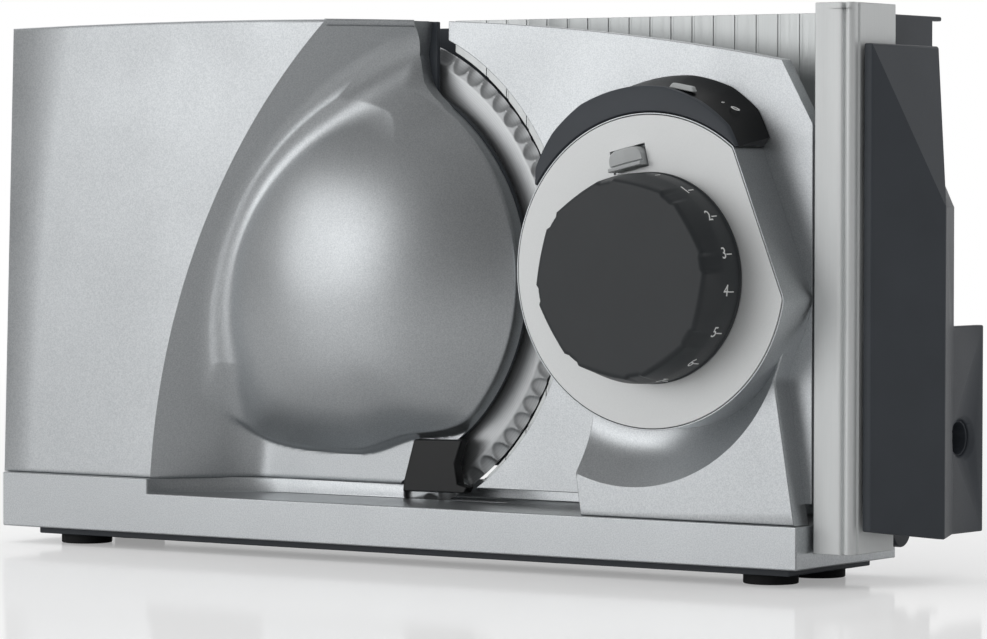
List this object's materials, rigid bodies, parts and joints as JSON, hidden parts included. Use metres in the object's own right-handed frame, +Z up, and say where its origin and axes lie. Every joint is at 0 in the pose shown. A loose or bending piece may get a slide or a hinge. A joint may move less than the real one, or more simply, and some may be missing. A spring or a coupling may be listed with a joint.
{
  "type": "electric food slicer",
  "caption": "Slim electric food slicer with a round blade, domed motor housing, thickness dial, ribbed stop plate and a fold-up carriage table.",
  "frame": {"origin": "middle of the bounding box's footprint, on the surface that the feet stand on", "axes": "+X along the base to the end profile, -Y out of the dial side, +Z up"},
  "size_m": [0.3612, 0.1108, 0.186],
  "materials": {
    "silver_paint": "fine satin silver paint",
    "dome_metal": "satin steel-grey paint",
    "brushed": "fine brushed",
    "blade_steel": "ground and satin",
    "anodised": "satin anodised",
    "steel": "plain plated",
    "dark_plastic": "fine grained",
    "knob_plastic": "fine grained",
    "black_plastic": "satin",
    "light_plastic": "satin",
    "rubber": "matt",
    "nylon": "plain nylon",
    "bronze": "sintered",
    "board": "laminate"
  },
  "bodies": {
    "machine": {"base_housing": "silver_paint", "base_pan": "dark_plastic", "base_screws": "steel", "base_feet": "rubber", "motor_housing": "silver_paint", "housing_cover": "dark_plastic", "blade_guard": "light_plastic", "housing_screws": "steel", "hub_bush": "bronze", "gearbox_plate": "anodised", "worm_bush": "bronze", "motor": "steel", "circuit_board": "board", "board_standoffs": "nylon", "board_parts": "black_plastic", "mains_inlet": "black_plastic", "right_panel": "silver_paint", "dial_turret": "silver_paint", "turret_screws": "steel", "dial_plate": "brushed", "micro_switch": "black_plastic", "guide_tracks": "nylon", "slice_deflector": "black_plastic", "end_profile": "anodised", "profile_screws": "steel", "hinge_pins": "steel"},
    "blade_unit": {"blade": "blade_steel", "worm_wheel": "nylon", "blade_shaft": "steel"},
    "fastener": {"blade_fastener": "dark_plastic"},
    "worm": {"worm_shaft": "steel"},
    "dial": {"knob": "knob_plastic", "knob_spindle": "steel"},
    "stop": {"stop_plate": "anodised", "thrust_tube": "anodised", "stop_slides": "nylon"},
    "switch": {"power_switch": "dark_plastic"},
    "tab": {"lock_tab": "light_plastic"},
    "table": {"carriage_bed": "dark_plastic", "bed_rails": "anodised", "guard_studs": "dark_plastic"},
    "carriage": {"food_carriage": "dark_plastic", "carriage_shoes": "nylon"},
    "guard": {"hand_guard": "dark_plastic"}
  },
  "joints": [
    {"name": "blade_spin", "type": "hinge", "parent": "machine", "child": "blade_unit", "pos_m": [-0.04865, 0.0086, 0.0965], "axis": [0, 1, 0], "continuous": true},
    {"name": "worm_spin", "type": "hinge", "parent": "machine", "child": "worm", "pos_m": [-0.09765, -0.0069, 0.0965], "axis": [0, 0, 1], "continuous": true},
    {"name": "fastener_turn", "type": "hinge", "parent": "blade_unit", "child": "fastener", "pos_m": [-0.04865, 0.0086, 0.0965], "axis": [0, 1, 0], "range_deg": [0, 90]},
    {"name": "dial_turn", "type": "hinge", "parent": "machine", "child": "dial", "pos_m": [0.09965, -0.0354, 0.0983], "axis": [0, -1, 0], "range_deg": [0, 175]},
    {"name": "stop_slide", "type": "slide", "parent": "machine", "child": "stop", "axis": [0, -1, 0], "range_m": [0, 0.018]},
    {"name": "switch_turn", "type": "hinge", "parent": "machine", "child": "switch", "pos_m": [0.09845, -0.0354, 0.1003], "axis": [0, -1, 0], "range_deg": [0, 12], "stiffness_Nm_per_rad": 0.4, "springref_deg": -5.73},
    {"name": "tab_push", "type": "slide", "parent": "machine", "child": "tab", "axis": [0, 1, 0], "range_m": [0, 0.002], "stiffness_N_per_m": 300, "springref_m": -0.001},
    {"name": "table_fold", "type": "hinge", "parent": "machine", "child": "table", "pos_m": [-0.01435, 0.0326, 0.024], "axis": [-1, 0, 0], "range_deg": [0, 90]},
    {"name": "carriage_slide", "type": "slide", "parent": "table", "child": "carriage", "axis": [-1, 0, 0], "range_m": [0, 0.145]},
    {"name": "guard_pull", "type": "slide", "parent": "table", "child": "guard", "axis": [1, 0, 0], "range_m": [0, 0.03]}
  ],
  "couplings": [
    {"joint": "worm_spin", "follows": "blade_spin", "ratio": 50},
    {"joint": "stop_slide", "follows": "dial_turn", "m_per_rad": 0.00589}
  ]
}
